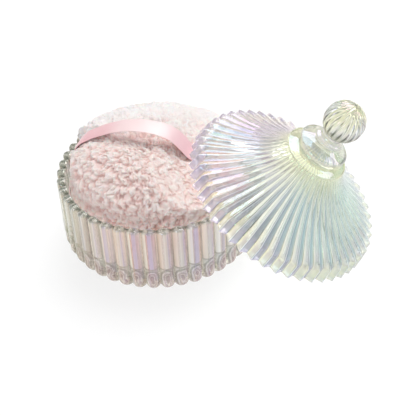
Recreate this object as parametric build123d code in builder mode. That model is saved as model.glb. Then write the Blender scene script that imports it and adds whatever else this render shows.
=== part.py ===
from build123d import *

from math import cos, pi, radians, sin
import os

# Pressed-glass powder jar with its lid set down beside it and a plush puff in its mouth.
# The jar stands on its foot ring, centred on the Z axis. The lid leans on the jar's rim: its low
# edge stands on the table on the +X side and its high edge reaches over the puff. All sizes are mm.

# --- driving dimensions -------------------------------------------------------------------------
# jar
FLUTES = 42  # rounded ribs round the wall
RIM_RADIUS = 54.0  # over the ribs
JAR_HEIGHT = 43.2
BORE_RADIUS = 49.3
FLOOR_TOP = 5.8
FLOOR_FILLET = 5.0
RIB_RADIUS = 3.9
RIB_TOP_ROUND = 1.5
GROOVE_DEPTH = 2.8  # from over the ribs to the wall between them
RIM_DROP = 1.2  # how far the wall between the ribs ends below their tops
FOOT_HEIGHT = 1.4  # of the hollow inside the foot ring
FOOT_OUTER, FOOT_INNER = 46.0, 38.5  # the flat ring that the jar stands on

# lid, in its own frame: radii from its axis, heights above the plane of its lower edge
PLEATS = 48
TOOTH_RADIUS = 55.5  # over the points of the toothed skirt
TOOTH_DEPTH = 2.9
SKIRT_HEIGHT = 9.6
COLLAR_SEAT = 35.4  # height at which the pleats run into the collar
FINIAL_SEAT = 51.8
BALL_CENTRE, BALL_RADIUS = 62.3, 10.9

# how the lid leans beside the jar
LID_TILT, LID_HEADING = 30.85, -13.4  # degrees from vertical, and round Z from +X
LID_CENTRE_X, LID_CENTRE_Y = 65.2, -12.2

# puff
PUFF_RADIUS = 48.7
PUFF_EQUATOR, PUFF_TOP, PUFF_BOTTOM = 34.0, 64.0, 6.4  # heights of its widest ring and its ends
PILE = 4.5  # thickness of the fleece and its backing
SEAM_RADIUS = 0.6

# ribbon handle, laid over the puff
RIBBON_WIDTH, RIBBON_THICK = 11.0, 0.8
RIBBON_HEADING, RIBBON_OFFSET = -17.5, 2.4  # degrees round Z, and mm behind the jar's axis
RIBBON_FOOT = 35.2  # height at which its ends are sewn to the puff's seam


# --- shared planes ------------------------------------------------------------------------------
def upright_plane(base):
    """The plane through base's origin whose X is base's X and whose Y is base's own axis."""
    return Plane(origin=base.origin, x_dir=base.x_dir, z_dir=-base.y_dir)


lid_axis = Vector(0, 0, 1).rotate(Axis.Y, LID_TILT).rotate(Axis.Z, LID_HEADING)
lid_across = Vector(1, 0, 0).rotate(Axis.Y, LID_TILT).rotate(Axis.Z, LID_HEADING)
# the lowest tooth point just touches the table
lid_centre = Vector(LID_CENTRE_X, LID_CENTRE_Y, TOOTH_RADIUS * sin(radians(LID_TILT)))
LID_PLANE = Plane(origin=lid_centre, x_dir=lid_across, z_dir=lid_axis)
LID_SECTION = upright_plane(LID_PLANE)
LID_AXIS = Axis(lid_centre, lid_axis)

JAR_SECTION = upright_plane(Plane.XY)
across_ribbon = Vector(0, 1, 0).rotate(Axis.Z, RIBBON_HEADING)
along_ribbon = Vector(1, 0, 0).rotate(Axis.Z, RIBBON_HEADING)
RIBBON_SECTION = Plane(
    origin=across_ribbon * RIBBON_OFFSET, x_dir=along_ribbon, z_dir=-across_ribbon
)


def star(tip, valley, points):
    """Corners of a star outline whose first point lies on the sketch's X axis."""
    step = pi / points
    return [
        (radius * cos(i * step), radius * sin(i * step))
        for i in range(2 * points)
        for radius in [valley if i % 2 else tip]
    ]


# --- jar: one rib, then the bowl with all of them -----------------------------------------------
rib_line = RIM_RADIUS - RIB_RADIUS  # distance of a rib's own axis from the jar's
HEEL_CLEARANCE = 0.3  # keeps the rib's bend from closing on itself, and its end off the table
rib_turn = RIB_RADIUS + HEEL_CLEARANCE  # bend radius where a rib turns in under the jar
rib_heel = rib_turn + RIB_RADIUS + HEEL_CLEARANCE  # height at which that bend starts
with BuildPart() as rib:
    with BuildLine(JAR_SECTION) as rib_path:
        Line((rib_line, JAR_HEIGHT), (rib_line, rib_heel))
        CenterArc((rib_line - rib_turn, rib_heel), rib_turn, 0, -90)
    with BuildSketch(Plane(origin=rib_path.line @ 0, z_dir=(0, 0, -1))):
        Circle(RIB_RADIUS)
    sweep(path=rib_path.line)
    fillet(rib.edges().group_by(Axis.Z)[-1], RIB_TOP_ROUND)
    with Locations(rib_path.line @ 1):
        Sphere(RIB_RADIUS)

groove_radius = RIM_RADIUS - GROOVE_DEPTH
neck_radius = FOOT_OUTER + 0.6  # of the wall just above the foot
neck_height = rib_heel - 5  # at which that wall starts to flare out behind the ribs' heels
wall_top = JAR_HEIGHT - RIM_DROP
with BuildPart() as bowl:
    with BuildSketch(JAR_SECTION):
        with BuildLine():
            Polyline(
                (0, FOOT_HEIGHT),
                (FOOT_INNER - FOOT_HEIGHT, FOOT_HEIGHT),
                (FOOT_INNER, 0),
                (FOOT_OUTER, 0),
                (neck_radius, neck_radius - FOOT_OUTER),
                (neck_radius, neck_height),
                (groove_radius, rib_heel),
                (groove_radius, wall_top),
                (0, wall_top),
                (0, FOOT_HEIGHT),
            )
        make_face()
    revolve(axis=Axis.Z)
    with PolarLocations(0, FLUTES):
        add(rib.part)
    with BuildSketch(Plane.XY.offset(FLOOR_TOP)):
        Circle(BORE_RADIUS)
    extrude(amount=JAR_HEIGHT, mode=Mode.SUBTRACT)
    floor_edge = bowl.edges().filter_by(GeomType.CIRCLE).filter_by(
        lambda e: abs(e.radius - BORE_RADIUS) < 0.01 and abs(e.center().Z - FLOOR_TOP) < 0.01
    )
    fillet(floor_edge, FLOOR_FILLET)
bowl.part.label = "bowl"

# --- lid: a toothed skirt that runs on as pleats up a pagoda-shaped cone to a ringed collar -------
# height, radius over the ridges and depth of the pleats, from the skirt's lower edge upwards
PLEAT_RINGS = [
    (0.0, TOOTH_RADIUS, TOOTH_DEPTH),
    (SKIRT_HEIGHT - 0.6, TOOTH_RADIUS - 1.2, TOOTH_DEPTH),
    (SKIRT_HEIGHT + 0.8, 51.6, 2.4),
    (15.0, 41.6, 2.0),
    (20.8, 31.6, 1.6),
    (27.6, 22.8, 1.2),
    (COLLAR_SEAT, 16.4, 0.8),
]
# radius and height of the hollow under the lid, from its mouth up to its closed top
MOUTH_RADIUS = 48.2
HOLLOW = [
    (MOUTH_RADIUS, 0),
    (47.4, 7.0),
    (37.4, 12.4),
    (28.4, 17.8),
    (20.4, 24.0),
    (13.4, 31.0),
    (8.5, 33.4),
    (0, 34.0),
]
# radius and height of the collar's three rounded rings: lower side, crest, upper side
LOWER_RING = [(16.6, 35.9), (17.4, 36.7), (16.6, 37.5)]
MIDDLE_RING = [(12.8, 42.6), (13.7, 43.5), (12.8, 44.4)]
UPPER_RING = [(6.9, 47.4), (8.0, 48.6), (6.9, 49.8)]
WAIST = (11.2, 40.3)  # between the lower and the middle ring
STEM_RADIUS = 5.6
collar_base = COLLAR_SEAT - 2  # the collar runs down into the pleated cone
collar_radius = 15.0  # of that buried part
with BuildPart() as lid:
    for height, ridge, depth in PLEAT_RINGS:
        with BuildSketch(LID_PLANE.offset(height)):
            Polygon(*star(ridge, ridge - depth, PLEATS), align=None)
    loft(ruled=True)
    with BuildSketch(LID_SECTION):
        with BuildLine():
            Polyline(
                (0, collar_base),
                (collar_radius, collar_base),
                (collar_radius, COLLAR_SEAT + 0.2),
                LOWER_RING[0],
            )
            ThreePointArc(*LOWER_RING)
            Spline(LOWER_RING[-1], WAIST, MIDDLE_RING[0])
            ThreePointArc(*MIDDLE_RING)
            Polyline(MIDDLE_RING[-1], (9.2, 46.2), UPPER_RING[0])
            ThreePointArc(*UPPER_RING)
            Polyline(
                UPPER_RING[-1],
                (STEM_RADIUS, 50.6),
                (STEM_RADIUS, FINIAL_SEAT),
                (0, FINIAL_SEAT),
                (0, collar_base),
            )
        make_face()
    revolve(axis=LID_AXIS)
    with BuildSketch(LID_SECTION):
        with BuildLine():
            Polyline((0, -1), (MOUTH_RADIUS, -1), *HOLLOW, (0, -1))
        make_face()
    revolve(axis=LID_AXIS, mode=Mode.SUBTRACT)
lid.part.label = "lid"

# --- finial: a ball cut with long upright facets, on a short stem ---------------------------------
FACETS = 20
LATITUDES = (-60, -48, -34, -20, -6, 8, 22, 36, 50, 64, 76)
with BuildPart() as finial:
    for latitude in LATITUDES:
        height = BALL_CENTRE + BALL_RADIUS * sin(radians(latitude))
        with BuildSketch(LID_PLANE.offset(height)):
            RegularPolygon(BALL_RADIUS * cos(radians(latitude)), FACETS)
    loft(ruled=True)
    with BuildSketch(LID_PLANE.offset(FINIAL_SEAT)):
        Circle(STEM_RADIUS)
    extrude(amount=3)  # up into the ball
finial.part.label = "finial"

# --- puff: two round plush covers sewn edge to edge round a soft filling --------------------------
# the leaning lid presses the plush flat under the plane of its rim
PRESS_DEPTH = 1.9  # below the plane of the rim
ABOVE = 150  # reaches past the puff, for cutting away all that lies above a plane
press = LID_PLANE.offset(-PRESS_DEPTH)
core_press = LID_PLANE.offset(-PRESS_DEPTH - PILE)
PUFF_SECTION = Plane(origin=(0, 0, 0), x_dir=(-1, 0, 0), z_dir=(0, 1, 0))


def egg_half(radius, end, middle):
    """Half section of an egg, from its widest ring at height middle to its end on the axis."""
    rise = end - middle
    shoulder = (radius * cos(pi / 4), middle + rise * sin(pi / 4))
    ends = ((0, rise), (-radius, 0))
    with BuildSketch() as half:
        with BuildLine():
            Spline((radius, middle), shoulder, (0, end), tangents=ends)
            Polyline((0, end), (0, middle), (radius, middle))
        make_face()
    return half.sketch


with BuildPart() as puff_filling:
    with BuildSketch(PUFF_SECTION):
        add(egg_half(PUFF_RADIUS - PILE, PUFF_TOP - PILE, PUFF_EQUATOR))
    revolve(axis=Axis.Z)
    with BuildSketch(core_press):
        Circle(ABOVE)
    extrude(amount=ABOVE, mode=Mode.SUBTRACT)
    with BuildSketch(PUFF_SECTION):
        add(egg_half(PUFF_RADIUS - PILE, PUFF_BOTTOM + PILE, PUFF_EQUATOR))
    revolve(axis=Axis.Z)
puff_filling.part.label = "puff_filling"

SEAM_GAP = 0.1  # between the thread and the plush round it
seam_ring = PUFF_RADIUS - SEAM_RADIUS - SEAM_GAP
with BuildPart() as puff_seam:
    with Locations((0, 0, PUFF_EQUATOR)):
        Torus(seam_ring, SEAM_RADIUS)
puff_seam.part.label = "puff_seam"

with BuildPart() as seam_groove:
    with Locations((0, 0, PUFF_EQUATOR)):
        Torus(seam_ring, SEAM_RADIUS + SEAM_GAP)

ribbon_edge = PUFF_RADIUS - RIBBON_THICK
RIBBON_GAP = 0.3  # between the ribbon and the plush round it
RIBBON_BEND = 1.2
RIBBON_ROUTE = [
    (-ribbon_edge, RIBBON_FOOT),
    (-ribbon_edge, 46.5),
    (-33, 61.5),
    (-5, 68.6),
    (11, 66.4),
    (18.6, 55.4),
    (ribbon_edge, 38.1),
    (ribbon_edge, RIBBON_FOOT),
]
with BuildPart() as ribbon_handle:
    with BuildLine(RIBBON_SECTION) as ribbon_path:
        FilletPolyline(*RIBBON_ROUTE, radius=RIBBON_BEND)
    ribbon_start = Plane(origin=ribbon_path.line @ 0, x_dir=along_ribbon, z_dir=(0, 0, 1))
    with BuildSketch(ribbon_start):
        Rectangle(RIBBON_THICK, RIBBON_WIDTH)
    sweep(path=ribbon_path.line)
ribbon_handle.part.label = "ribbon_handle"

with BuildPart() as ribbon_room:
    with BuildSketch(ribbon_start):
        Rectangle(RIBBON_THICK + 2 * RIBBON_GAP, RIBBON_WIDTH + 2 * RIBBON_GAP)
    sweep(path=ribbon_path.line)

with BuildPart() as puff_top_cover:
    with BuildSketch(PUFF_SECTION):
        add(egg_half(PUFF_RADIUS, PUFF_TOP, PUFF_EQUATOR))
    revolve(axis=Axis.Z)
    with BuildSketch(press):
        Circle(ABOVE)
    extrude(amount=ABOVE, mode=Mode.SUBTRACT)
    for hole in (puff_filling, seam_groove, ribbon_room):
        add(hole.part, mode=Mode.SUBTRACT)
puff_top_cover.part.label = "puff_top_cover"

with BuildPart() as puff_base_cover:
    with BuildSketch(PUFF_SECTION):
        add(egg_half(PUFF_RADIUS, PUFF_BOTTOM, PUFF_EQUATOR))
    revolve(axis=Axis.Z)
    for hole in (puff_filling, seam_groove):
        add(hole.part, mode=Mode.SUBTRACT)
puff_base_cover.part.label = "puff_base_cover"

# --- write one STEP per piece ---------------------------------------------------------------------
os.makedirs("parts", exist_ok=True)
jar_pieces = (bowl, lid, finial)
puff_pieces = (puff_top_cover, puff_base_cover, puff_filling, puff_seam, ribbon_handle)
for piece in jar_pieces + puff_pieces:
    export_step(piece.part, f"parts/{piece.part.label}.step")
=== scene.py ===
from math import cos, pi, radians, sin, sqrt, tau

import bpy
import numpy as np
from mathutils import Matrix, Vector, noise
from mathutils.bvhtree import BVHTree


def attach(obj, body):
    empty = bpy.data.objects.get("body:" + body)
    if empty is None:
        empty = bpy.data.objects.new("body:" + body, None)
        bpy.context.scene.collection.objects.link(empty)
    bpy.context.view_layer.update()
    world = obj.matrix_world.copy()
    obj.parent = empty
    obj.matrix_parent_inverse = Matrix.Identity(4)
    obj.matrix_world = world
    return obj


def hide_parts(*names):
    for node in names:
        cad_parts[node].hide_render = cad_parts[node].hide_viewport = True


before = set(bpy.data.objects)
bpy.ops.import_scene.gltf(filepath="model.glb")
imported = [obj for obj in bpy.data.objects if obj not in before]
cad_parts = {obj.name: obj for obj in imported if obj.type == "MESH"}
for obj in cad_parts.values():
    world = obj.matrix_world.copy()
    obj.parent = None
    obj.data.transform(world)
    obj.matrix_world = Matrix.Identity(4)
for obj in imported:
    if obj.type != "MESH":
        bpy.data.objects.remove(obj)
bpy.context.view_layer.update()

MM = 0.001

# --- sizes in mm, the same as the CAD parts ------------------------------------------------------
FLUTES = 42
RIM_RADIUS, JAR_HEIGHT, BORE_RADIUS = 54.0, 43.2, 49.3
FLOOR_TOP, FLOOR_FILLET = 5.8, 5.0
RIB_RADIUS = 3.9
RIB_LINE = RIM_RADIUS - RIB_RADIUS  # distance of a rib's own axis from the jar's
HEEL_CLEARANCE = 0.3  # keeps a rib's end off the table
RIB_TURN = RIB_RADIUS + HEEL_CLEARANCE  # bend radius where a rib turns in under the jar
RIB_HEEL = RIB_TURN + RIB_RADIUS + HEEL_CLEARANCE  # height at which that bend starts
GROOVE_RADIUS = 51.2
FOOT_INNER, FOOT_OUTER, FOOT_HOLLOW = 38.5, 46.0, 1.4
NECK_RISE = 0.6
NECK_RADIUS = FOOT_OUTER + NECK_RISE  # of the wall just above the foot
NECK_HEIGHT = RIB_HEEL - 5  # at which that wall starts to flare out behind the ribs' heels

PLEATS = 48
TOOTH_RADIUS = 55.5
LID_TILT, LID_HEADING = 30.85, -13.4  # degrees from vertical, and round Z from +X
# the lowest tooth just touches the table
LID_CENTRE = np.array((65.2, -12.2, TOOTH_RADIUS * sin(radians(LID_TILT))))
# height above the lid's rim, radius over the ridges, and depth of the valleys
PLEAT_RINGS = np.array([
    (0.0, TOOTH_RADIUS, 2.9), (9.0, 54.3, 2.9), (10.4, 51.6, 2.4), (15.0, 41.6, 2.0),
    (20.8, 31.6, 1.6), (27.6, 22.8, 1.2), (35.4, 16.4, 0.8),
])
HOLLOW = [(47.4, 7), (37.4, 12.4), (28.4, 17.8), (20.4, 24), (13.4, 31), (8.5, 33.4)]
BALL_CENTRE, BALL_RADIUS, FACETS = 62.3, 10.9, 20

PUFF_RADIUS, PUFF_EQUATOR, PUFF_TOP, PUFF_BOTTOM = 48.7, 34.0, 64.0, 6.4
PRESS_DEPTH = 1.9  # how far below its rim the leaning lid presses the plush flat
PILE = 4.5  # thickness of the fleece and its backing
RIBBON_WIDTH = 11.0
RIBBON_HEADING, RIBBON_OFFSET = -17.5, 2.4  # degrees round Z, and mm behind the jar's axis
# the ribbon's line: distance along it from the jar's axis, and height
RIBBON_ROUTE = [
    (-47.5, 35.4), (-47.6, 41.0), (-46.6, 47.0), (-42.0, 53.4), (-35.0, 58.2), (-27.0, 62.4),
    (-18.0, 66.0), (-8.0, 67.8), (2.0, 67.4), (9.0, 65.2), (14.0, 61.2), (18.4, 55.9),
    (24.0, 51.6), (34.0, 45.6), (43.0, 40.6), (47.6, 37.4), (47.6, 35.4),
]


def turned(vector, degrees_y, degrees_z):
    turn = Matrix.Rotation(radians(degrees_z), 3, "Z") @ Matrix.Rotation(radians(degrees_y), 3, "Y")
    return np.array(turn @ Vector(vector))


LID_ACROSS = turned((1, 0, 0), LID_TILT, LID_HEADING)
LID_AXIS = turned((0, 0, 1), LID_TILT, LID_HEADING)
LID_SIDE = np.cross(LID_AXIS, LID_ACROSS)
RIBBON_ALONG = turned((1, 0, 0), 0, RIBBON_HEADING)
RIBBON_ACROSS = turned((0, 1, 0), 0, RIBBON_HEADING)
UPWARD = np.array((0, 0, 1))

# --- camera, floor and light ---------------------------------------------------------------------
scene = bpy.context.scene
CAMERA_TARGET = Vector((0.02651, -0.01501, 0.025))
CAMERA_DISTANCE, CAMERA_ELEVATION, CAMERA_ROLL = 0.53835, 41.10, 2.56
CAMERA_LENS = 86.54  # mm, for a sensor 36 mm wide
elevation, roll = radians(CAMERA_ELEVATION), radians(CAMERA_ROLL)
back = Vector((0, -cos(elevation), sin(elevation)))
up = Vector((0, sin(elevation), cos(elevation)))
right = Vector((1, 0, 0))
camera = bpy.data.objects.new("camera", bpy.data.cameras.new("camera"))
scene.collection.objects.link(camera)
camera.data.sensor_width = 36
camera.data.lens = CAMERA_LENS
camera.data.clip_start, camera.data.clip_end = 0.01, 50
across = right * cos(roll) - up * sin(roll)
upward = up * cos(roll) + right * sin(roll)
axes = Matrix((across, upward, back)).transposed()
camera.matrix_world = Matrix.Translation(CAMERA_TARGET + back * CAMERA_DISTANCE) @ axes.to_4x4()
scene.camera = camera

scene.view_settings.view_transform = "Standard"
scene.cycles.max_bounces = 24
scene.cycles.transmission_bounces = 20
scene.cycles.glossy_bounces = 8
scene.cycles.diffuse_bounces = 4
scene.cycles.use_denoising = True


def node_tree(owner):
    owner.use_nodes = True
    tree = owner.node_tree
    tree.nodes.clear()
    return tree


class Nodes:
    """Short calls for building a node tree."""

    def __init__(self, owner):
        self.tree = node_tree(owner)

    def add(self, kind, inputs=None, **settings):
        node = self.tree.nodes.new(kind)
        for key, value in settings.items():
            setattr(node, key, value)
        for key, value in (inputs or {}).items():
            self.put(node.inputs[key], value)
        return node

    def put(self, socket, value):
        if isinstance(value, bpy.types.NodeSocket):
            self.tree.links.new(value, socket)
        else:
            socket.default_value = value

    def math(self, operation, *values):
        node = self.add("ShaderNodeMath", operation=operation)
        for socket, value in zip(node.inputs, values):
            self.put(socket, value)
        return node.outputs[0]

    def ramp(self, factor, stops):
        node = self.add("ShaderNodeValToRGB", {"Fac": factor})
        ramp = node.color_ramp
        while len(ramp.elements) < len(stops):
            ramp.elements.new(0.5)
        for element, (at, colour) in zip(ramp.elements, stops):
            element.position = at
            element.color = (*colour, 1)
        return node.outputs["Color"]

    def grey_ramp(self, factor, stops):
        return self.ramp(factor, [(at, (grey, grey, grey)) for at, grey in stops])

    def mix(self, factor, a, b, blend="MIX"):
        node = self.add("ShaderNodeMix", data_type="RGBA", blend_type=blend)
        self.put(node.inputs["Factor"], factor)
        self.put(node.inputs[6], a)
        self.put(node.inputs[7], b)
        return node.outputs[2]

    def attribute(self, name):
        return self.add("ShaderNodeAttribute", attribute_name=name).outputs["Fac"]

    def noise(self, scale, detail=3.0, roughness=0.5, distortion=0.0):
        node = self.add(
            "ShaderNodeTexNoise",
            {"Scale": scale, "Detail": detail, "Roughness": roughness, "Distortion": distortion},
        )
        self.put(node.inputs["Vector"], self.position())
        return node.outputs["Fac"]

    def position(self):
        return self.add("ShaderNodeTexCoord").outputs["Object"]

    def bump(self, height, strength, distance):
        inputs = {"Height": height, "Strength": strength, "Distance": distance}
        return self.add("ShaderNodeBump", inputs).outputs["Normal"]

    def surface(self, shader, output="ShaderNodeOutputMaterial"):
        out = self.add(output)
        self.tree.links.new(shader.outputs[0], out.inputs["Surface"])


WORLD_LIGHT = 0.77
BACKDROP = 1.0 / WORLD_LIGHT  # shows pure white to the camera
world = bpy.data.worlds.new("studio")
scene.world = world
sky = Nodes(world)
direction = sky.add("ShaderNodeTexCoord").outputs["Generated"]
parts = sky.add("ShaderNodeSeparateXYZ", {"Vector": direction})
height = parts.outputs["Z"]
bands = sky.add("ShaderNodeTexNoise", {"Scale": 3.4, "Detail": 1.0}, noise_dimensions="3D")
sky.put(bands.inputs["Vector"], direction)
dome = sky.ramp(height, [
    (0.0, (0.10, 0.11, 0.11)), (0.16, (0.34, 0.36, 0.36)), (0.42, (0.95, 0.95, 0.96)),
    (1.0, (1, 1, 1)),
])
cloud = sky.ramp(bands.outputs["Fac"], [(0.42, (0.26, 0.28, 0.28)), (0.56, (1, 1, 1))])
seen = sky.mix(1.0, dome, cloud, "MULTIPLY")
camera_ray = sky.add("ShaderNodeLightPath").outputs["Is Camera Ray"]
shown = sky.mix(camera_ray, seen, (BACKDROP, BACKDROP, BACKDROP, 1))
background = sky.add("ShaderNodeBackground", {"Color": shown, "Strength": WORLD_LIGHT})
sky.surface(background, "ShaderNodeOutputWorld")


def area_light(name, place, size, power, colour=(1, 1, 1), aim=(0.02, -0.01, 0.03)):
    data = bpy.data.lights.new(name, "AREA")
    data.shape = "SQUARE"
    data.size, data.energy, data.color = size, power, colour
    lamp = bpy.data.objects.new(name, data)
    scene.collection.objects.link(lamp)
    lamp.location = place
    lamp.rotation_euler = (Vector(aim) - Vector(place)).to_track_quat("-Z", "Y").to_euler()


area_light("key", (0.3, 0.8, 1.15), 1.0, 14.0)
area_light("side", (1.1, 0.1, 0.55), 0.5, 2.5, (0.96, 1.0, 1.0))
area_light("front", (-0.7, -0.9, 0.6), 0.5, 4.5, (1.0, 0.98, 1.0))

FLOOR_HALF = 6.0  # metres
FLOOR_GAP = 0.0002  # metres below the jar's foot, so that the two faces don't coincide
floor_mesh = bpy.data.meshes.new("floor")
sides = ((-1, -1), (1, -1), (1, 1), (-1, 1))
floor_corners = [(x * FLOOR_HALF, y * FLOOR_HALF, 0) for x, y in sides]
floor_mesh.from_pydata(floor_corners, [], [(0, 1, 2, 3)])
floor = bpy.data.objects.new("floor", floor_mesh)
scene.collection.objects.link(floor)
floor.location.z = -FLOOR_GAP
floor_paint = bpy.data.materials.new("floor")
paint = Nodes(floor_paint)
paper = paint.add("ShaderNodeBsdfPrincipled", {
    "Base Color": (0.32, 0.32, 0.32, 1), "Roughness": 1.0, "Specular IOR Level": 0.0,
    "Emission Color": (1, 1, 1, 1), "Emission Strength": 0.70,
})
paint.surface(paper)
floor_mesh.materials.append(floor_paint)


# --- mesh helpers --------------------------------------------------------------------------------
def enclosed(points, faces):
    """The volume inside a closed mesh, negative where its faces look inwards."""
    total = 0.0
    for size in {len(face) for face in faces}:
        corners = points[np.array([face for face in faces if len(face) == size])]
        for i in range(1, size - 1):
            normals = np.cross(corners[:, i], corners[:, i + 1])
            total += np.einsum("ij,ij->i", corners[:, 0], normals).sum()
    return total


def mesh_object(name, points, faces, sharp=None):
    """A mesh from points in mm, shaded smooth but for edges over sharp degrees."""
    points = np.asarray(points, float)
    if enclosed(points, faces) < 0:
        faces = [tuple(reversed(face)) for face in faces]
    mesh = bpy.data.meshes.new(name)
    mesh.from_pydata((points * MM).tolist(), [], faces)
    mesh.validate()
    mesh.polygons.foreach_set("use_smooth", [True] * len(mesh.polygons))
    if sharp is not None:
        mesh.set_sharp_from_angle(angle=radians(sharp))
    made = bpy.data.objects.new(name, mesh)
    scene.collection.objects.link(made)
    return made


def tube_faces(rings, around, start=0):
    """Quads between neighbouring rings of points, each ring closed on itself."""
    faces = []
    for i in range(rings - 1):
        a, b = start + i * around, start + (i + 1) * around
        for j in range(around):
            k = (j + 1) % around
            faces.append((a + j, a + k, b + k, b + j))
    return faces


def capped(rings):
    """Points and faces of a closed body made of rings, with a fan over the first and the last."""
    rings = np.asarray(rings, float)
    count, around = rings.shape[:2]
    points = np.concatenate([rings.reshape(-1, 3), [rings[0].mean(0)], [rings[-1].mean(0)]])
    faces = tube_faces(count, around)
    first, last = count * around, count * around + 1
    top = (count - 1) * around
    for j in range(around):
        k = (j + 1) % around
        faces.append((k, j, first))
        faces.append((top + j, top + k, last))
    return points, faces


def set_attribute(made, name, values, domain="POINT"):
    attribute = made.data.attributes.new(name, "FLOAT", domain)
    attribute.data.foreach_set("value", np.asarray(values, np.float32))


def dress(made, body, node, material):
    made.data.materials.append(material)
    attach(made, body)
    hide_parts(node)


def arc(centre, radius, start, end, steps):
    """Points of an arc in a section, angles in degrees."""
    return [
        (centre[0] + radius * cos(radians(a)), centre[1] + radius * sin(radians(a)))
        for a in np.linspace(start, end, steps)
    ]


# --- glass ---------------------------------------------------------------------------------------
GLASS_IOR, FILM_IOR, GLASS_ROUGHNESS = 1.52, 1.66, 0.015


def glass(name, colour_of, clear_of, film=(330, 430), bare=None):
    """Glass under a film of uneven thickness in nm, left off where attribute bare is 1."""
    made = bpy.data.materials.new(name)
    n = Nodes(made)
    film_thickness = n.add(
        "ShaderNodeMapRange",
        {
            "Value": n.noise(14, 1), "From Min": 0.3, "From Max": 0.7,
            "To Min": film[0], "To Max": film[1],
        },
    ).outputs["Result"]
    if bare:
        covered = n.math("SUBTRACT", 1.0, n.attribute(bare))
        film_thickness = n.math("MULTIPLY", film_thickness, covered)
    shader = n.add(
        "ShaderNodeBsdfPrincipled",
        {
            "Base Color": colour_of(n),
            "Roughness": GLASS_ROUGHNESS,
            "IOR": GLASS_IOR,
            "Transmission Weight": clear_of(n),
            "Thin Film Thickness": film_thickness,
            "Thin Film IOR": FILM_IOR,
            "Normal": n.bump(n.noise(160, 2), 0.08, 0.0004),
        },
    )
    # light passes through to the plush and the table instead of casting a solid shadow
    lamps = n.add("ShaderNodeLightPath").outputs["Is Shadow Ray"]
    through = n.add("ShaderNodeBsdfTransparent", {"Color": (0.93, 0.93, 0.93, 1)})
    both = n.add("ShaderNodeMixShader", {0: lamps, 1: shader.outputs[0], 2: through.outputs[0]})
    n.surface(both)
    return made


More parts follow.
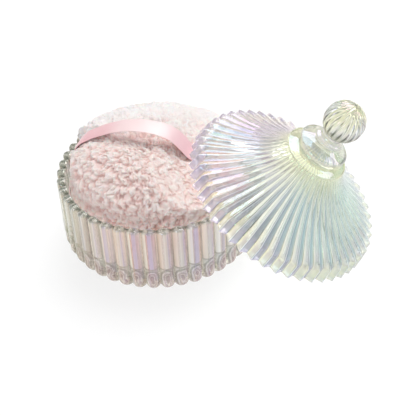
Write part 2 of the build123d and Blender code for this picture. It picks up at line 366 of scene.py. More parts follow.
def jar_colour(n):
    """Base colour of the jar: the film's bands along each rib with painted highlights and painted
    shade, painted reflections on the jar's sides, painted nested rings in the base and painted
    glints and shade on the rim.
    """
    phase = n.attribute("phase")
    lobe = n.attribute("lobe")
    across = n.add("ShaderNodeSeparateXYZ", {"Vector": n.position()}).outputs["X"]
    # painted light across each rib: dark painted shade in the groove, cream-white painted
    # highlights, and peach that paints the pink plush seen through the wall, beside the film's
    # lilac
    stripes = n.ramp(phase, [
        (0.00, (0.34, 0.31, 0.27)), (0.06, (0.92, 0.90, 0.77)), (0.26, (1.0, 0.99, 0.90)),
        (0.34, (0.84, 0.68, 0.55)), (0.44, (0.74, 0.68, 0.82)), (0.62, (0.70, 0.66, 0.78)),
        (0.76, (0.90, 0.76, 0.62)), (0.95, (0.80, 0.72, 0.61)),
    ])
    other = n.ramp(phase, [
        (0.00, (0.36, 0.33, 0.29)), (0.08, (0.86, 0.73, 0.61)), (0.30, (0.91, 0.82, 0.70)),
        (0.42, (1.0, 0.99, 0.90)), (0.60, (0.80, 0.79, 0.70)), (0.70, (0.74, 0.69, 0.82)),
        (0.86, (0.87, 0.74, 0.63)), (0.97, (0.60, 0.56, 0.49)),
    ])
    # painted reflections for the jar's left and right sides, where the wall is seen edge-on: dark
    # painted lines and bright painted reflections in place of the film's bands
    plain = n.ramp(phase, [
        (0.00, (0.16, 0.18, 0.15)), (0.10, (0.70, 0.74, 0.64)), (0.22, (1.0, 1.0, 0.96)),
        (0.34, (0.92, 0.95, 0.88)), (0.44, (0.34, 0.38, 0.34)), (0.52, (0.50, 0.54, 0.50)),
        (0.64, (0.98, 1.0, 0.94)), (0.80, (0.84, 0.85, 0.77)), (0.95, (0.30, 0.33, 0.28)),
    ])
    colour = n.mix(n.math("GREATER_THAN", lobe, 0.6), stripes, other)
    # 1 on the jar's left and right sides, by position across it, where the painted reflections
    # replace the bands
    outer = n.grey_ramp(n.math("MULTIPLY_ADD", across, 9.0, 0.5), [
        (0.08, 1), (0.30, 0), (0.72, 0), (0.9, 1),
    ])
    colour = n.mix(n.math("MULTIPLY", outer, 0.85), colour, plain)
    # painted light and shade in the thick base: nested dark and bright rings stand in for the ribs'
    # rounded ends
    heel = n.attribute("heel")
    wobble = n.math("MULTIPLY_ADD", n.noise(150, 3, 0.6), 0.9, -0.45)
    sideways = n.math("ADD", n.math("DIVIDE", n.math("SUBTRACT", phase, 0.5), 0.47), wobble)
    over = n.math("DIVIDE", n.math("SUBTRACT", 0.42, heel), 0.38)
    under = n.math("DIVIDE", n.math("SUBTRACT", heel, 0.42), 0.85)
    along = n.math("ADD", n.math("MAXIMUM", over, under), wobble)
    square = n.math("ADD", n.math("MULTIPLY", sideways, sideways), n.math("MULTIPLY", along, along))
    oval = n.math("SQRT", square)
    painted_drop_rings = n.ramp(oval, [
        (0.00, (0.56, 0.47, 0.42)), (0.12, (0.38, 0.30, 0.25)), (0.22, (0.44, 0.36, 0.31)),
        (0.32, (0.86, 0.82, 0.74)), (0.44, (0.50, 0.42, 0.38)), (0.52, (0.56, 0.50, 0.50)),
        (0.66, (0.90, 0.90, 0.84)), (0.80, (0.36, 0.37, 0.31)), (0.92, (0.42, 0.44, 0.37)),
        (1.0, (0.74, 0.76, 0.66)),
    ])
    band = n.grey_ramp(heel, [(0.0, 0), (0.02, 1), (0.97, 1), (1.0, 0)])
    edge = n.ramp(heel, [
        (0.0, (1, 1, 1)), (0.02, (0.42, 0.36, 0.32)), (0.06, (0.50, 0.44, 0.40)), (0.09, (1, 1, 1)),
    ])
    ripple = n.ramp(n.noise(260, 2, 0.6), [(0.36, (0.74, 0.74, 0.72)), (0.56, (1, 1, 1))])
    colour = n.mix(n.math("MULTIPLY", band, 0.9), colour, n.mix(0.8, painted_drop_rings, ripple, "MULTIPLY"))
    colour = n.mix(0.5, colour, edge, "MULTIPLY")
    # painted light on the rim's beads: dark painted shade in the grooves and across each bead's
    # middle, bright painted highlights beside it, under a fine mottle of painted glints
    painted_rim_glints = n.ramp(n.noise(900, 2, 0.6), [
        (0.38, (0.40, 0.43, 0.39)), (0.50, (0.82, 0.85, 0.80)), (0.60, (1, 1, 0.99)),
    ])
    bead = n.ramp(phase, [
        (0.00, (0.10, 0.12, 0.11)), (0.12, (0.30, 0.33, 0.30)), (0.24, (0.98, 0.99, 0.95)),
        (0.38, (1.0, 1.0, 0.98)), (0.46, (0.34, 0.37, 0.34)), (0.56, (0.46, 0.49, 0.45)),
        (0.66, (1.0, 1.0, 0.97)), (0.80, (0.72, 0.75, 0.70)), (0.90, (0.24, 0.27, 0.24)),
        (1.00, (0.10, 0.12, 0.11)),
    ])
    return n.mix(n.attribute("rim"), colour, n.mix(1.0, bead, painted_rim_glints, "MULTIPLY"))


def jar_clear(n):
    """Clear in the painted dark lines and on the beads, milky where the film's bands and the
    painted highlights lie.
    """
    phase = n.attribute("phase")
    wall = n.grey_ramp(phase, [
        (0.00, 0.9), (0.07, 0.5), (0.28, 0.46), (0.36, 0.8), (0.46, 0.55), (0.66, 0.55),
        (0.78, 0.85), (1.0, 0.9),
    ])
    return n.math("MAXIMUM", wall, n.math("MULTIPLY", n.attribute("rim"), 0.8))


def lid_colour(n):
    phase = n.attribute("phase")
    swing = n.attribute("swing")
    lift = n.attribute("lift")
    # painted light across each pleat and each tooth: a white painted highlight on the ridge and
    # dark painted shade in the valleys, with the film's colours on the facets between
    warm = n.ramp(phase, [
        (0.00, (0.22, 0.23, 0.21)), (0.06, (0.90, 0.90, 0.76)), (0.38, (0.88, 0.86, 0.73)),
        (0.45, (0.36, 0.36, 0.34)), (0.47, (1, 1, 1)), (0.53, (1, 1, 1)),
        (0.57, (0.54, 0.51, 0.60)), (0.90, (0.68, 0.62, 0.68)), (1.00, (0.22, 0.23, 0.21)),
    ])
    cool = n.ramp(phase, [
        (0.00, (0.16, 0.20, 0.19)), (0.08, (0.98, 0.97, 0.86)), (0.36, (0.86, 0.91, 0.82)),
        (0.44, (0.22, 0.29, 0.30)), (0.47, (1, 1, 1)), (0.53, (1, 1, 1)),
        (0.58, (0.36, 0.48, 0.52)), (0.88, (0.54, 0.68, 0.67)), (1.00, (0.16, 0.20, 0.19)),
    ])
    colour = n.mix(swing, warm, cool)
    teeth = n.ramp(phase, [
        (0.0, (0.20, 0.20, 0.18)), (0.06, (0.98, 0.91, 0.66)), (0.40, (0.97, 0.92, 0.72)),
        (0.46, (1, 1, 1)), (0.54, (1, 1, 1)), (0.58, (0.56, 0.51, 0.66)),
        (0.92, (0.66, 0.60, 0.72)), (1.0, (0.20, 0.20, 0.18)),
    ])
    skirt = n.grey_ramp(lift, [(0.17, 1), (0.2, 0)])
    fade = n.math("SUBTRACT", 1.0, n.math("MULTIPLY", swing, 0.3))
    colour = n.mix(n.math("MULTIPLY", skirt, fade), colour, teeth)
    crown = n.grey_ramp(lift, [(0.45, 0), (0.75, 1), (0.8, 0)])
    return n.mix(crown, colour, (0.88, 0.90, 0.64, 1))


def lid_clear(n):
    """Milky on the pleats' crests and the rim's teeth, clear at the crown."""
    crest = n.grey_ramp(n.attribute("phase"), [
        (0.0, 0.9), (0.1, 0.74), (0.44, 0.8), (0.47, 0.3), (0.53, 0.3), (0.57, 0.66), (0.9, 0.7),
        (1.0, 0.9),
    ])
    crest = n.math("MULTIPLY", crest, n.math("MULTIPLY_ADD", n.attribute("swing"), -0.12, 1.05))
    lift = n.attribute("lift")
    skirt = n.grey_ramp(lift, [(0.17, 0.86), (0.2, 1)])
    crown = n.grey_ramp(lift, [(0.5, 0), (0.72, 0.97)])
    return n.math("MAXIMUM", n.math("MULTIPLY", crest, skirt), crown)


def finial_colour(n):
    # random patches of the film's tint, the yellow patches painted highlights
    tint_and_painted_glints = n.ramp(n.noise(70, 1), [
        (0.35, (0.84, 0.84, 0.86)), (0.48, (0.93, 0.94, 0.80)), (0.58, (0.97, 0.95, 0.60)),
        (0.7, (0.82, 0.88, 0.76)),
    ])
    # painted shade in the slits between the petals
    slit_shade = n.ramp(n.attribute("slit_shade"), [(0.42, (1, 1, 1)), (0.80, (0.10, 0.13, 0.09))])
    return n.mix(1.0, tint_and_painted_glints, slit_shade, "MULTIPLY")


# the jar's bowl
STEPS = 14  # points round one flute
around = FLUTES * STEPS
turn = np.arange(around) * tau / around
phase = (np.arange(around) / STEPS + 0.5) % 1.0  # 0.5 on a rib's crown and 0 in a groove
offset = (phase - 0.5) * tau / FLUTES  # angle from the rib's crown


def core_radius(z):
    """Radius at height z of the plain wall behind the ribs."""
    heights = (NECK_RISE, NECK_HEIGHT, RIB_HEEL)
    return float(np.interp(z, heights, (NECK_RADIUS, NECK_RADIUS, GROOVE_RADIUS)))


def wall_radius(z):
    """Radius of the outside at height z, round the whole jar."""
    tries = np.linspace(NECK_RADIUS, RIM_RADIUS, 500)
    r, a = np.meshgrid(tries, offset, indexing="ij")
    below = max(RIB_HEEL - z, 0.0)
    if below == 0.0:
        from_axis = r * np.cos(a) - RIB_LINE
    else:
        from_axis = np.hypot(r * np.cos(a) - (RIB_LINE - RIB_TURN), below) - RIB_TURN
    inside = from_axis**2 + (r * np.sin(a)) ** 2 <= RIB_RADIUS**2
    found = np.where(inside, r, 0).max(0)
    return np.maximum(found, core_radius(z))


def ring(radius, z):
    radius = np.broadcast_to(np.asarray(radius, float), turn.shape)
    z = np.broadcast_to(np.asarray(z, float), turn.shape)
    return np.stack([radius * np.cos(turn), radius * np.sin(turn), z], -1)


bead = 1.0 - np.abs(2 * phase - 1) ** 2.2  # 1 on a rib's crown and 0 in a groove
BEAD_HEIGHT = 1.5  # of the ribs' tops over the rim between them
LIP_ROUND, EDGE_ROUND = 0.5, 1.3  # of the rim's inner and outer edge
bead_height = BEAD_HEIGHT * bead
rim_low = JAR_HEIGHT - BEAD_HEIGHT
lip = BORE_RADIUS + LIP_ROUND
edge = wall_radius(JAR_HEIGHT) - EDGE_ROUND
bowl_rings, bowl_heel, bowl_rim = [], [], []


def bowl_ring(radius, z, heel=0.0, rim=0.0):
    bowl_rings.append(ring(radius, z))
    bowl_heel.append(heel)
    bowl_rim.append(rim)


for radius in (8, 20, 32, 40):
    bowl_ring(radius, FLOOR_TOP)
fillet_centre = (BORE_RADIUS - FLOOR_FILLET, FLOOR_TOP + FLOOR_FILLET)
for radius, z in arc(fillet_centre, FLOOR_FILLET, -90, 0, 7):
    bowl_ring(radius, z)
for z in (18, 26, 34, 40.6):
    bowl_ring(BORE_RADIUS, z)
for share in (0.0, 0.3, 0.7, 1.0):
    a = share * pi / 2
    bowl_ring(BORE_RADIUS + LIP_ROUND * (1 - cos(a)), rim_low + bead_height * sin(a) ** 0.8)
for share in (0.25, 0.5, 0.75, 1.0):
    bowl_ring(lip + (edge - lip) * share, rim_low + bead_height, rim=1.0)
for a in (25, 50, 75, 90):
    z = rim_low + bead_height * cos(radians(a))
    bowl_ring(edge + EDGE_ROUND * sin(radians(a)), z, rim=1 - a / 90)
DROPS_TOP, DROPS_TALL = 18.6, 16.0  # the band of the thick base where droplet rings are painted, standing in for the light and shade in the ribs' rounded ends
for z in (36, 30, 24, DROPS_TOP):
    bowl_ring(wall_radius(z), z)
for z in (
    16, 14, 12.4, 11.2, 10.0, 9.2, RIB_HEEL, 7.6, 6.8, 6.0, 5.2, 4.4, 3.6, 2.9, 2.2, 1.6, 1.1,
    NECK_RISE,
):
    bowl_ring(wall_radius(z), z, heel=min(1.0, (DROPS_TOP - z) / DROPS_TALL))
for radius in (FOOT_OUTER, 42, FOOT_INNER):
    bowl_ring(radius, 0)
for radius in (FOOT_INNER - FOOT_HOLLOW, 24, 10):
    bowl_ring(radius, FOOT_HOLLOW)
points, faces = capped(bowl_rings)
bowl = mesh_object("jar_bowl", points, faces, sharp=38)
set_attribute(bowl, "heel", np.append(np.repeat(bowl_heel, around), (0, 0)))
set_attribute(bowl, "rim", np.append(np.repeat(bowl_rim, around), (0, 0)))


def corner_phase(made, around, steps, ring_points, seed):
    """Gives face corners their place across a flute, 0 to 1, and each flute a chance number."""
    mesh = made.data
    loops = np.zeros(len(mesh.loops), int)
    mesh.loops.foreach_get("vertex_index", loops)
    starts = np.zeros(len(mesh.polygons), int)
    totals = np.zeros(len(mesh.polygons), int)
    mesh.polygons.foreach_get("loop_start", starts)
    mesh.polygons.foreach_get("loop_total", totals)
    column = np.where(loops < ring_points, loops % around, -1)
    values = np.zeros(len(loops))
    lobe = np.zeros(len(starts))
    chance = np.random.default_rng(seed).random(around // steps)
    for f, (s, t) in enumerate(zip(starts, totals)):
        cols = [c for c in column[s : s + t] if c >= 0]
        low = min(cols)
        if max(cols) - low > steps:  # the face closes the ring
            low = max(cols)
        cell = (low + steps // 2) // steps
        for i in range(s, s + t):
            c = column[i] if column[i] >= 0 else low
            if c < low:
                c += around
            values[i] = (c + steps // 2) / steps - cell
        lobe[f] = chance[cell % len(chance)]
    set_attribute(made, "phase", values, "CORNER")
    set_attribute(made, "lobe", lobe, "FACE")


corner_phase(bowl, around, STEPS, len(points) - 2, 3)
jar_glass = glass("jar_glass", jar_colour, jar_clear, film=(300, 380), bare="rim")
dress(bowl, "jar", "bowl", jar_glass)

# the lid
SHARES = (0.0, 0.07, 0.3, 0.5, 0.7, 0.93)  # places from a ridge to the next valley
lid_around = PLEATS * 2 * len(SHARES)


def lid_points(radius, angle, height):
    """Points given round the lid's own axis, in the shared frame."""
    radius, angle, height = np.broadcast_arrays(radius, angle, height)
    return (
        LID_CENTRE
        + (radius * np.cos(angle))[..., None] * LID_ACROSS
        + (radius * np.sin(angle))[..., None] * LID_SIDE
        + height[..., None] * LID_AXIS
    )


def star_ring(ridge, depth, height, soften=0.12):
    """One ring of pleats: straight facets between each ridge and the valleys beside it."""
    step = pi / PLEATS
    plane = []
    for i in range(2 * PLEATS):
        r0, r1 = (ridge, ridge - depth) if i % 2 == 0 else (ridge - depth, ridge)
        p0 = np.array((r0 * cos(i * step), r0 * sin(i * step)))
        p1 = np.array((r1 * cos((i + 1) * step), r1 * sin((i + 1) * step)))
        for share in SHARES:
            p = p0 + (p1 - p0) * share
            if share == 0.0:
                p = p * (1 - (soften if i % 2 == 0 else -soften) * depth / max(r0, 1))
            plane.append(p)
    plane = np.array(plane)
    return lid_points(np.hypot(*plane.T), np.arctan2(plane[:, 1], plane[:, 0]), height)


def round_ring(radius, height):
    return lid_points(radius, np.arange(lid_around) * tau / lid_around, height)


def smooth_rise(at, xs, ys):
    """A curve through the points that never overshoots them."""
    xs, ys = np.asarray(xs, float), np.asarray(ys, float)
    slope = np.diff(ys) / np.diff(xs)
    inner = [0 if a * b <= 0 else 2 * a * b / (a + b) for a, b in zip(slope, slope[1:])]
    bend = np.concatenate([[slope[0]], inner, [slope[-1]]])
    i = int(np.clip(np.searchsorted(xs, at) - 1, 0, len(slope) - 1))
    h = xs[i + 1] - xs[i]
    t = (at - xs[i]) / h
    return (
        (1 + 2 * t) * (1 - t) ** 2 * ys[i] + t * (1 - t) ** 2 * h * bend[i]
        + t * t * (3 - 2 * t) * ys[i + 1] + t * t * (t - 1) * h * bend[i + 1]
    )


lid_rings = [round_ring(r, h) for r, h in [(3.0, 34.0), *reversed(HOLLOW)]]
lid_rings.append(round_ring(47.9, 0.5))
lid_rings.append(round_ring(48.4, 0.0))
skirt, cone = PLEAT_RINGS[:2], PLEAT_RINGS[2:]
tooth_depth = float(skirt[0, 2])
lid_rings.append(star_ring(55.2, tooth_depth, 0.0))
lid_rings.append(star_ring(TOOTH_RADIUS, tooth_depth, 0.3))
for height in (3.0, 6.0, 8.7):
    reach = float(np.interp(height, skirt[:, 0], skirt[:, 1]))
    lid_rings.append(star_ring(reach, tooth_depth, height))
lid_rings.append(star_ring(54.0, 2.85, 9.0))
for height in (10.3, 11, 12, 13.2, 14.6, 16.2, 18, 20, 22.2, 24.6, 27, 29.6, 32.4, 35.0):
    at = max(height, float(cone[0, 0]))
    reach = float(smooth_rise(at, cone[:, 0], cone[:, 1]))
    depth = float(smooth_rise(at, cone[:, 0], cone[:, 2]))
    lid_rings.append(star_ring(reach, depth, height))
collar = [
    (16.0, 35.5), *arc((16.6, 36.7), 0.8, -90, 90, 7),
    (14.4, 37.9), (12.4, 38.8), (11.3, 40.0), (11.4, 41.4), (12.2, 42.3),
    *arc((12.8, 43.5), 0.9, -75, 90, 7), (11.4, 44.9), (9.6, 45.9), (8.0, 46.7), (6.9, 47.3),
    *arc((6.9, 48.6), 1.1, -80, 80, 7), (6.1, 50.1), (5.7, 50.8), (5.6, 51.8), (3.0, 51.8),
]
lid_rings += [round_ring(r, h) for r, h in collar]
points, faces = capped(lid_rings)
lid = mesh_object("lid_glass", points, faces, sharp=85)
corner_phase(lid, lid_around, 2 * len(SHARES), len(points) - 2, 5)
relative = points - LID_CENTRE
set_attribute(lid, "lift", np.clip(relative @ LID_AXIS / 52, 0, 1))
away = np.stack([relative @ LID_ACROSS, relative @ LID_SIDE], -1)
away = away / np.maximum(np.linalg.norm(away, axis=1, keepdims=True), 1e-6)
COOL_SIDE = radians(-25)  # the direction round the lid in which its film looks green and blue
swing = away @ np.array((cos(COOL_SIDE), sin(COOL_SIDE)))
set_attribute(lid, "swing", np.clip(0.5 + 0.8 * swing, 0, 1))
dress(lid, "lid", "lid", glass("lid_glass", lid_colour, lid_clear))

# the finial
PETAL_STEPS = 10
ball_around = FACETS * PETAL_STEPS
ball_turn = np.arange(ball_around) * tau / ball_around
# 1 in a slit between petals and 0 on a petal's crown
petal = np.abs(((np.arange(ball_around) / PETAL_STEPS) % 1.0) - 0.5) * 2
SLIT_DEPTH = 0.085  # as a share of the ball's radius
finial_rings = []
for radius, height in ((2.5, 51.85), (5.3, 51.85), (5.55, 52.0), (5.45, 52.5)):
    finial_rings.append(lid_points(radius, ball_turn, height))
for latitude in (
    -60, -56, -50, -43, -36, -28, -20, -12, -4, 4, 12, 20, 28, 36, 44, 52, 60, 68, 75, 82, 87,
):
    across_ball = BALL_RADIUS * cos(radians(latitude))
    cut = SLIT_DEPTH * petal**2.0 * min(1.0, cos(radians(latitude)) * 1.25)
    level = BALL_CENTRE + BALL_RADIUS * sin(radians(latitude))
    finial_rings.append(lid_points(across_ball * (1 - cut), ball_turn, level))
points, faces = capped(finial_rings)
finial = mesh_object("lid_finial", points, faces, sharp=40)
# the slits' painted shade is strongest in a band below the ball's middle
slit_shade_band = np.clip(1.15 - np.abs((points - LID_CENTRE) @ LID_AXIS - 58.5) / 9.0, 0, 1)
set_attribute(finial, "slit_shade", np.append(np.tile(petal, len(finial_rings)), (0, 0)) * slit_shade_band)
dress(finial, "lid", "finial", glass("finial_glass", finial_colour, lambda n: 0.95))


# --- puff ----------------------------------------------------------------------------------------
def rosette(rings):
    """Ring and angle of the points of a disc of even triangles, 6k in ring k, and its faces."""
    places, faces = [(0, 0.0)], []
    starts = [0]
    for k in range(1, rings + 1):
        starts.append(len(places))
        places += [(k, tau * i / (6 * k)) for i in range(6 * k)]
    for k in range(1, rings + 1):
        outer, inner = starts[k], starts[k - 1]
        for side in range(6):
            for i in range(k):
                a = outer + (side * k + i) % (6 * k)
                b = outer + (side * k + i + 1) % (6 * k)
                if k == 1:
                    faces.append((inner, a, b))
                    continue
                c = inner + (side * (k - 1) + i) % (6 * (k - 1))
                faces.append((a, b, c))
                if i < k - 1:
                    d = inner + (side * (k - 1) + i + 1) % (6 * (k - 1))
                    faces.append((b, d, c))
    return np.array(places), faces


def dome_directions(places, rings, sign):
    """Directions from the puff's middle for the points of a rosette laid over its top or base."""
    polar = places[:, 0] / rings * pi / 2
    angle = places[:, 1]
    return np.stack(
        [np.sin(polar) * np.cos(angle), np.sin(polar) * np.sin(angle), sign * np.cos(polar)], -1
    )


def press_limit(points):
    """How far each point is above the plane that the leaning lid presses on, in mm."""
    return (points - LID_CENTRE) @ LID_AXIS + PRESS_DEPTH


def ribbon_place(points):
    """Distance along and across the ribbon's line, in mm."""
    return points @ RIBBON_ALONG, points @ RIBBON_ACROSS - RIBBON_OFFSET


MIDDLE = np.array((0, 0, PUFF_EQUATOR))


def behind(points):
    """1 at the back and left of the puff, where it bulges over the jar's rim, and 0 in front."""
    out = np.hypot(points[:, 0], points[:, 1])
    share = np.clip((points[:, 1] / np.maximum(out, 1e-6) - 0.05) / 0.45, 0, 1)
    return share * np.clip(out / np.maximum(np.linalg.norm(points, axis=1), 1e-6) * 1.5, 0, 1)


def start_shape(directions):
    """The puff before it is swollen: a full bun that leans a little to the front left."""
    above = directions[:, 2] > 0
    spill = behind(directions)
    power = np.where(above, 2.5 + 0.4 * spill, 2.35)
    wide = np.where(above, 50.5 + 6.5 * spill, PUFF_RADIUS)
    tall = np.where(above, 26.0, PUFF_EQUATOR - PUFF_BOTTOM - 1.0)
    flat = np.hypot(directions[:, 0], directions[:, 1]) / wide
    radius = (flat**power + (np.abs(directions[:, 2]) / tall) ** power) ** (-1 / power)
    points = MIDDLE + directions * radius[:, None]
    lean = 1.2 - 0.02 * points[:, 0] - 0.06 * points[:, 1]
    points[:, 2] += np.clip(points[:, 2] - PUFF_EQUATOR, 0, 10) / 10 * lean
    return points


def ribbon_height(along):
    """Height of the ribbon's middle at a distance along it."""
    top = RIBBON_ROUTE[1:-1]
    return np.interp(along, [s for s, _ in top], [z for _, z in top])


def fit(points, room=0.0):
    """Keeps the puff in the bore or over the rim, and under the ribbon and the lid."""
    points = points.copy()
    along, aside = ribbon_place(points)
    out = np.hypot(points[:, 0], points[:, 1])
    bulge = np.interp(points[:, 2], (43.3, 44.8, 46.5, 50), (0, 1.5, 3.8, 4.5))
    spill = behind(points * (1, 1, 0))
    allowed = 48.5 + bulge * spill - 1.6 * (1 - spill) * np.clip((points[:, 2] - 37) / 4, 0, 1)
    tucked = np.clip((8.5 - np.abs(aside)) / 2.5, 0, 1) * (along < 0)  # round the ribbon's left end
    allowed = allowed * (1 - tucked) + np.minimum(allowed, 45.8) * tucked
    allowed = np.minimum(allowed, 53.0) - room
    points[:, :2] *= np.minimum(1.0, allowed / np.maximum(out, 1e-6))[:, None]
    under = ribbon_height(along) - 1.0 - room + 0.5 * np.clip(np.abs(aside) - 4.6, 0, None) ** 1.5
    upper = points[:, 2] > PUFF_EQUATOR
    points[:, 2] = np.where(upper, np.minimum(points[:, 2], under), points[:, 2])
    points -= np.maximum(press_limit(points) + room, 0)[:, None] * LID_AXIS
    points[:, 2] = np.maximum(points[:, 2], PUFF_BOTTOM)
    return points


COARSE = 17  # rings of the shape that is swollen
SIM_SCALE = 10.0
SWELL_FRAMES, SWELL_PRESSURE, CLOTH_MASS = 18, 8.0, 0.05
SWELL_LIMIT = 6.0  # mm that a point may move
places, cap_faces = rosette(COARSE)
top = start_shape(dome_directions(places, COARSE, 1))
base = start_shape(dome_directions(places, COARSE, -1))
rim_start = len(places) - 6 * COARSE
count = len(top)
merged = np.concatenate([top, base[:rim_start]])
base_index = [i + count if i < rim_start else i for i in range(count)]
faces = cap_faces + [tuple(base_index[i] for i in reversed(f)) for f in cap_faces]
along, across_line = ribbon_place(merged)
on_top = merged[:, 2] > PUFF_EQUATOR + 4
under_ribbon = on_top & (np.abs(across_line) < 3.2)
crease = on_top & (np.abs(merged[:, 0] * 0.97 + merged[:, 1] * 0.25 - 4) < 2.2) & (across_line > 12)
merged[under_ribbon, 2] -= 2.4
swollen = mesh_object("puff_shape", merged, faces)
pins = swollen.vertex_groups.new(name="pins")
at_equator = np.abs(merged[:, 2] - PUFF_EQUATOR) < 0.5
seam_ring = at_equator & (np.hypot(merged[:, 0], merged[:, 1]) > 40)
pins.add(np.nonzero(seam_ring)[0].tolist(), 1.0, "REPLACE")
pins.add(np.nonzero(under_ribbon)[0].tolist(), 0.9, "REPLACE")
pins.add(np.nonzero(crease)[0].tolist(), 0.5, "REPLACE")
# the cloth is swollen at ten times its size, where the solver's steps suit its weight
swollen.data.vertices.foreach_set("co", (merged * MM * SIM_SCALE).ravel())
swollen.data.update()
cloth = swollen.modifiers.new("cloth", "CLOTH")
cloth.settings.quality = 5
cloth.settings.use_pressure = True
cloth.settings.uniform_pressure_force = SWELL_PRESSURE
cloth.settings.mass = CLOTH_MASS
cloth.settings.vertex_group_mass = "pins"
cloth.settings.effector_weights.gravity = 0.0
cloth.settings.tension_stiffness = cloth.settings.compression_stiffness = 12.0
cloth.settings.bending_stiffness = 1.5
for number in range(1, SWELL_FRAMES + 1):
    scene.frame_set(number)
evaluated = swollen.evaluated_get(bpy.context.evaluated_depsgraph_get())
moved = np.array([v.co for v in evaluated.data.vertices]) / MM / SIM_SCALE
scene.frame_set(1)
swollen.modifiers.clear()
step = moved - merged
length = np.linalg.norm(step, axis=1, keepdims=True)
merged = merged + step * np.minimum(1.0, SWELL_LIMIT / np.maximum(length, 1e-6))
most, average = round(float(length.max()), 2), round(float(length.mean()), 2)
print("puff swells by up to", most, "mm, by", average, "on average")
swollen.data.vertices.foreach_set("co", (merged * MM).ravel())
swollen.data.update()
smooth = swollen.modifiers.new("smooth", "SUBSURF")
smooth.levels = smooth.render_levels = 2
bpy.context.view_layer.update()
evaluated = swollen.evaluated_get(bpy.context.evaluated_depsgraph_get())
shape = BVHTree.FromPolygons(
    [Vector(v.co) / MM for v in evaluated.data.vertices],
    [tuple(p.vertices) for p in evaluated.data.polygons],
)
bpy.data.objects.remove(swollen)


def cast(directions):
    """Where rays from the puff's middle meet its swollen shape."""
    centre = Vector(MIDDLE)
    return np.array([tuple(shape.ray_cast(centre, Vector(d))[0]) for d in directions])


WANDER_SHIFTS = ((0, 0, 0), (31.7, 4.1, 9.3), (7.9, 52.3, 18.1))


def wander(place):
    """A smooth vector noise. (noise.noise_vector gives other values each run.)"""
    return Vector([noise.noise(place + Vector(shift)) for shift in WANDER_SHIFTS])


def locks(place, cell, long, wide):
    """Height, 0 to 1, of curved locks of wool at chance angles, one for each cell of space."""
    place = place / cell
    highest = 0.0
    for root in noise.voronoi(place)[1]:
        away = place - root
        grain = wander(root * 5.37)
        grain.normalize()
        along = away.dot(grain)
        curl = 0.9 * noise.noise(root * 3.1) * along * along
        aside = away - grain * along - grain.orthogonal().normalized() * curl
        inside = 1 - (along / long) ** 2 - aside.length_squared / wide**2
        if inside > 0:
            highest = max(highest, sqrt(inside) * (0.8 + 0.2 * noise.noise(root * 8.7)))
    return highest


def fleece(point, seed):
    """Height of the fleece's tufts at a point, from 0 in a crevice to 1 on a crown."""
    p = Vector(point) + Vector((seed * 10, 0, 0))
    q = p + wander(p / 6.0) * 1.6
    kinked = q + wander(p / 1.6) * 0.35
    return 0.56 * locks(kinked, 3.7, 1.0, 0.56) + 0.44 * locks(kinked, 1.9, 1.0, 0.5)


LINING_INSET = 0.4  # how much further in than the pile's thickness the lining's edge lies


def cover(name, rings, sign, depth, seed):
    """One plush cover: a thick closed shell, curly outside and smooth inside."""
    places, skin_faces = rosette(rings)
    directions = dome_directions(places, rings, sign)
    surface = fit(cast(directions), depth * 0.3)
    outward = surface - MIDDLE
    outward /= np.linalg.norm(outward, axis=1, keepdims=True)
    pile = np.array([fleece(p, seed) for p in surface])
    broad = np.array([noise.noise(Vector(p) / 17 + Vector((seed, 0, 0))) for p in surface])
    # the pile is flat where it meets the seam, and flattened where the lid leans on it
    rim = np.clip((places[:, 0] / rings - 0.97) / 0.03, 0, 1)
    free = np.clip(-press_limit(surface) / 4, 0.5, 1)
    height = ((pile - 0.7) * depth + broad * depth * 0.4) * free
    height = height * (1 - rim) - 0.35 * rim
    skin = fit(surface + outward * height[:, None], 0.2)
    if sign < 0:
        skin_faces = [tuple(reversed(f)) for f in skin_faces]
    edge = len(places) - 6 * rings
    around_edge = 6 * rings
    lining, faces = [], list(skin_faces)
    edge_angle = places[edge:, 1]
    previous = edge
    total = len(places)
    room = (PUFF_TOP if sign > 0 else PUFF_BOTTOM) - PUFF_EQUATOR
    for share in (0.0, 0.12, 0.3, 0.5, 0.7, 0.86):
        reach = (PUFF_RADIUS - PILE - LINING_INSET) * cos(share * pi / 2)
        lift = (abs(room) - PILE - 5) * sin(share * pi / 2)
        level = np.full(around_edge, PUFF_EQUATOR + sign * (0.3 + lift))
        points = np.stack([reach * np.cos(edge_angle), reach * np.sin(edge_angle), level], -1)
        over = np.maximum(press_limit(points) + PILE, 0)
        points = points - over[:, None] * LID_AXIS
        lining.append(points)
        for j in range(around_edge):
            k = (j + 1) % around_edge
            quad = (previous + j, total + j, total + k, previous + k)
            faces.append(quad if sign > 0 else tuple(reversed(quad)))
        previous = total
        total += around_edge
    lining.append(lining[-1].mean(0)[None])
    for j in range(around_edge):
        k = (j + 1) % around_edge
        fan = (previous + j, total, previous + k)
        faces.append(fan if sign > 0 else tuple(reversed(fan)))
    made = mesh_object(name, np.concatenate([skin, *lining]), faces)
    rest = total + 1 - len(places)
    set_attribute(made, "pile", np.concatenate([pile, np.full(rest, 0.4)]))
    return made


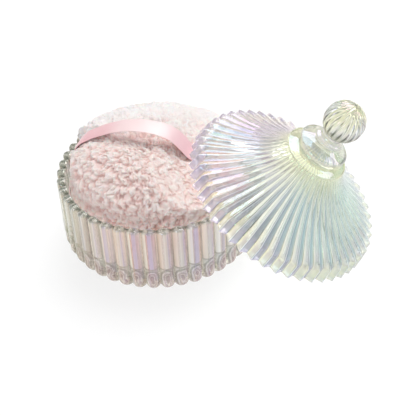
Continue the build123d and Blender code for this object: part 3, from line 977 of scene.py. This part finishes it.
def plush():
    made = bpy.data.materials.new("plush")
    n = Nodes(made)
    pile = n.attribute("pile")
    # painted shade between the tufts: the pile's crevices painted a deeper, darker pink and its
    # crowns paler
    colour = n.ramp(pile, [
        (0.08, (0.80, 0.56, 0.52)), (0.30, (0.93, 0.74, 0.70)), (0.55, (1.0, 0.86, 0.82)),
        (0.85, (1.0, 0.90, 0.87)),
    ])
    patch = n.ramp(n.noise(55, 3), [(0.35, (0.97, 0.94, 0.93)), (0.65, (1, 1, 1))])
    colour = n.mix(1.0, colour, patch, "MULTIPLY")
    # painted light: the back of the puff is painted paler, standing in for the light from behind
    back = n.add("ShaderNodeSeparateXYZ", {"Vector": n.position()}).outputs["Y"]
    painted_backlight = n.grey_ramp(n.math("MULTIPLY_ADD", back, 10.0, 0.5), [(0.45, 0), (0.85, 0.8)])
    colour = n.mix(painted_backlight, colour, (1.0, 0.985, 0.975, 1))
    fibre = n.noise(1200, 5, 0.75, distortion=0.6)
    shader = n.add("ShaderNodeBsdfPrincipled", {
        "Base Color": colour, "Roughness": 0.95, "Sheen Weight": 0.6, "Sheen Roughness": 0.5,
        "Sheen Tint": (1.0, 0.88, 0.85, 1), "Specular IOR Level": 0.1,
        "Subsurface Weight": 0.35, "Subsurface Radius": (1.0, 0.5, 0.4), "Subsurface Scale": 0.0012,
        "Normal": n.bump(fibre, 0.7, 0.0009),
    })
    n.surface(shader)
    return made


plush_material = plush()
top_cover = cover("puff_top", 165, 1, 3.0, 1.0)
dress(top_cover, "puff", "puff_top_cover", plush_material)
base_cover = cover("puff_base", 80, -1, 2.6, 9.0)
dress(base_cover, "puff", "puff_base_cover", plush_material)


def fabric(name, colours, scale, roughness, sheen=0.3):
    made = bpy.data.materials.new(name)
    n = Nodes(made)
    grain = n.noise(scale, 4, 0.65)
    shader = n.add("ShaderNodeBsdfPrincipled", {
        "Base Color": n.ramp(grain, [(0.3, colours[0]), (0.7, colours[1])]),
        "Roughness": roughness, "Sheen Weight": sheen, "Normal": n.bump(grain, 0.5, 0.0004),
    })
    n.surface(shader)
    return made


# the filling, a soft lump inside the covers
LUMP_RINGS = 36
places, skin_faces = rosette(LUMP_RINGS)
shell = []
for sign in (1, -1):
    directions = dome_directions(places, LUMP_RINGS, sign)
    wide = PUFF_RADIUS - PILE - 1.6
    tall = abs((PUFF_TOP if sign > 0 else PUFF_BOTTOM) - PUFF_EQUATOR) - PILE - 6
    body = MIDDLE + directions * np.array((wide, wide, tall))
    body += directions * np.array([0.5 * noise.noise(Vector(p) / 9) for p in body])[:, None]
    over = np.maximum(press_limit(body) + PILE + 1.5, 0)
    shell.append(body - over[:, None] * LID_AXIS)
rim_start = len(places) - 6 * LUMP_RINGS
points = np.concatenate([shell[0], shell[1][:rim_start]])
under = [i + len(places) if i < rim_start else i for i in range(len(places))]
faces = skin_faces + [tuple(under[i] for i in reversed(f)) for f in skin_faces]
wadding = mesh_object("puff_wadding", points, faces)
wool = fabric("wadding", ((0.86, 0.84, 0.82), (0.96, 0.95, 0.93)), 700, 1.0)
dress(wadding, "puff", "puff_filling", wool)

# the seam: a whipped thread round the puff's widest ring
STITCHES, STITCH_STEPS = 150, 8
THREAD_RADIUS, THREAD_INSET, THREAD_SIDES = 0.4, 0.75, 6
seam_around = STITCHES * STITCH_STEPS
seam_turn = np.arange(seam_around) * tau / seam_around
wave = STITCHES * seam_turn
seam_centre = np.stack([
    (PUFF_RADIUS - THREAD_INSET + 0.12 * np.cos(wave)) * np.cos(seam_turn),
    (PUFF_RADIUS - THREAD_INSET + 0.12 * np.cos(wave)) * np.sin(seam_turn),
    PUFF_EQUATOR + 0.18 * np.sin(wave),
], -1)
thread_rings = []
for a in np.arange(THREAD_SIDES) * tau / THREAD_SIDES:
    outward = np.stack([np.cos(seam_turn), np.sin(seam_turn), np.zeros(seam_around)], -1)
    thread_rings.append(seam_centre + THREAD_RADIUS * (cos(a) * outward + sin(a) * UPWARD))
points = np.concatenate(thread_rings)
faces = []
for i in range(THREAD_SIDES):
    a, b = i * seam_around, (i + 1) % THREAD_SIDES * seam_around
    for j in range(seam_around):
        k = (j + 1) % seam_around
        faces.append((a + j, a + k, b + k, b + j))
seam = mesh_object("puff_thread", points, faces)
cotton = fabric("thread", ((0.85, 0.60, 0.60), (0.95, 0.74, 0.74)), 2000, 0.7)
dress(seam, "puff", "puff_seam", cotton)

# the ribbon
LINE_STEPS = 8
route = np.array(RIBBON_ROUTE)


def through(points, steps):
    """A smooth line through points (Catmull-Rom)."""
    padded = np.concatenate([[2 * points[0] - points[1]], points, [2 * points[-1] - points[-2]]])
    line = []
    for a, b, c, d in zip(padded, padded[1:], padded[2:], padded[3:]):
        for t in np.arange(steps) / steps:
            square, cube = (2 * a - 5 * b + 4 * c - d) * t * t, (3 * b - a - 3 * c + d) * t**3
            line.append(0.5 * (2 * b + (c - a) * t + square + cube))
    line.append(points[-1])
    return np.array(line)


line = through(route, LINE_STEPS)
tangent = np.gradient(line, axis=0)
tangent /= np.linalg.norm(tangent, axis=1, keepdims=True)
normal = np.stack([-tangent[:, 1], tangent[:, 0]], -1)
RIBBON_THICK = 0.36
ACROSS_STEPS = 12
loop = [(x, 1) for x in np.linspace(-1, 1, ACROSS_STEPS)]
loop += [(x, -1) for x in np.linspace(1, -1, ACROSS_STEPS)]
ribbon_rings = []
run = np.concatenate([[0], np.cumsum(np.linalg.norm(np.diff(line, axis=0), axis=1))])
for place, (point, lift) in enumerate(zip(line, normal)):
    distance = run[place]
    ring_points = []
    for x, face in loop:
        crown = -0.35 * x * x + 0.10 * sin(distance * 0.55 + 2.0 * x) * (1 - 0.4 * abs(x))
        edge_roll = 0.5 + 0.5 * (1 - abs(x) ** 8)
        level = crown + face * RIBBON_THICK / 2 * edge_roll
        middle = RIBBON_ALONG * (point[0] + lift[0] * level) + UPWARD * (point[1] + lift[1] * level)
        ring_points.append(middle + RIBBON_ACROSS * (RIBBON_OFFSET + x * RIBBON_WIDTH / 2))
    ribbon_rings.append(ring_points)
points, faces = capped(ribbon_rings)
ribbon = mesh_object("puff_ribbon", points, faces, sharp=60)
set_attribute(ribbon, "run", np.append(np.repeat(run / run[-1], len(loop)), (0, 1)))


def satin():
    made = bpy.data.materials.new("satin")
    n = Nodes(made)
    run = n.attribute("run")
    # the ribbon's pink with painted light: deeper painted shade towards the ends, where they turn
    # down, and a pale painted highlight over the middle
    pink_with_painted_light = n.ramp(run, [
        (0.0, (0.74, 0.32, 0.36)), (0.14, (0.85, 0.46, 0.49)), (0.29, (0.88, 0.54, 0.56)),
        (0.37, (0.94, 0.72, 0.72)), (0.54, (0.95, 0.79, 0.78)), (0.64, (0.90, 0.58, 0.62)),
        (1.0, (0.82, 0.44, 0.49)),
    ])
    thread = n.add(
        "ShaderNodeTexWave", {"Scale": 1500.0, "Distortion": 0.6, "Detail": 1.0},
        wave_type="BANDS", bands_direction="Y",
    )
    n.put(thread.inputs["Vector"], n.position())
    shader = n.add("ShaderNodeBsdfPrincipled", {
        "Base Color": pink_with_painted_light, "Roughness": 0.36, "Sheen Weight": 0.4, "Sheen Tint": (1, 0.8, 0.82, 1),
        "Anisotropic": 0.6, "Specular IOR Level": 0.6,
        "Normal": n.bump(thread.outputs["Fac"], 0.15, 0.0002),
    })
    n.surface(shader)
    return made


dress(ribbon, "puff", "ribbon_handle", satin())
print("ribbon length", round(float(run[-1]), 2), "mm")
